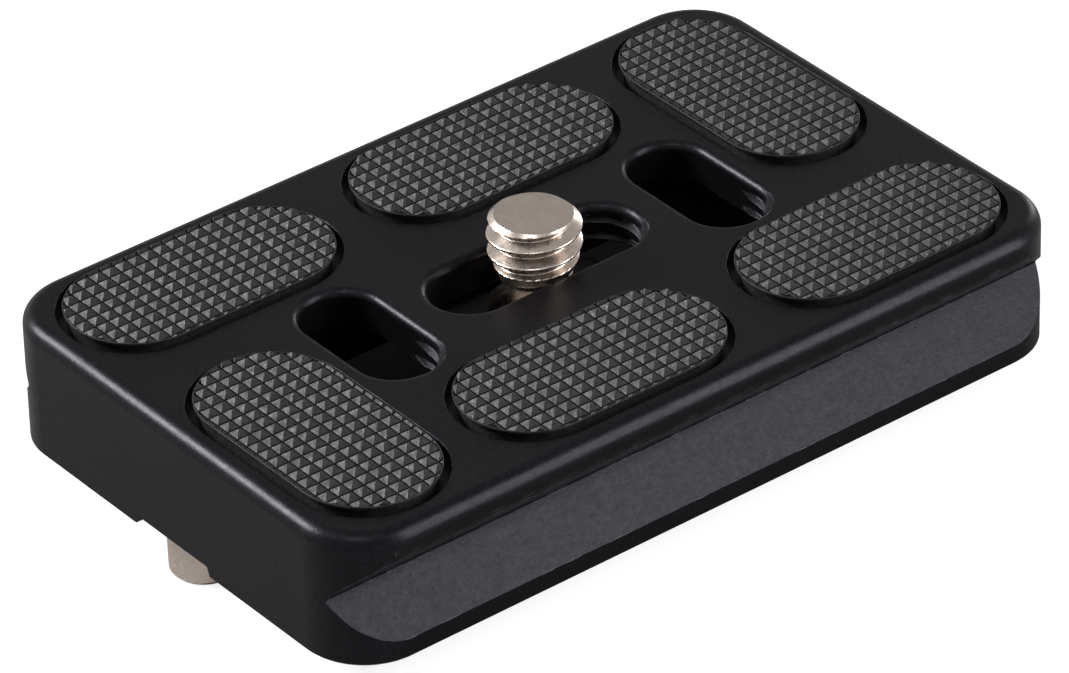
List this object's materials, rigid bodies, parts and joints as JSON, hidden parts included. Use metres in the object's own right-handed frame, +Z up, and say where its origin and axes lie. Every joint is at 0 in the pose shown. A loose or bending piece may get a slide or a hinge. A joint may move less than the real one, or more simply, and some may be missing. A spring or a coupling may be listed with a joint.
{
  "type": "camera quick-release plate",
  "caption": "Dovetail camera plate with studded rubber pads, a captive camera screw that slides in a slot and has a folding D ring, and stop screws under its ends.",
  "frame": {"origin": "midway along and across the plate, on the plane of the stop screws' heads, on which the part stands", "axes": "+X along the plate, +Z up out of the pads, towards the camera; the near long side of the picture is -Y"},
  "size_m": [0.06, 0.038, 0.0155],
  "materials": {
    "anodised": "black anodised, fine matt",
    "rubber": "moulded, dark grey, matt",
    "steel": "turned stainless, satin",
    "nylon": "black, matt"
  },
  "bodies": {
    "plate": {"plate_body": "anodised", "pad_far_left": "rubber", "pad_far_middle": "rubber", "pad_far_right": "rubber", "pad_near_right": "rubber", "pad_near_middle": "rubber", "pad_near_left": "rubber", "stop_screw_left": "steel", "stop_screw_right": "steel"},
    "slider": {"screw_washer": "nylon"},
    "screw": {"camera_screw": "steel"},
    "ring": {"screw_ring": "steel"}
  },
  "joints": [
    {"name": "screw_slide", "type": "slide", "parent": "plate", "child": "slider", "axis": [1, 0, 0], "range_m": [-0.0053, 0.0053]},
    {"name": "screw_turn", "type": "hinge", "parent": "slider", "child": "screw", "pos_m": [0, 0, 0.012], "axis": [0, 0, 1], "continuous": true},
    {"name": "ring_fold", "type": "hinge", "parent": "screw", "child": "ring", "pos_m": [0, 0, 0.0054], "axis": [0, 1, 0], "range_deg": [0, 180]}
  ]
}
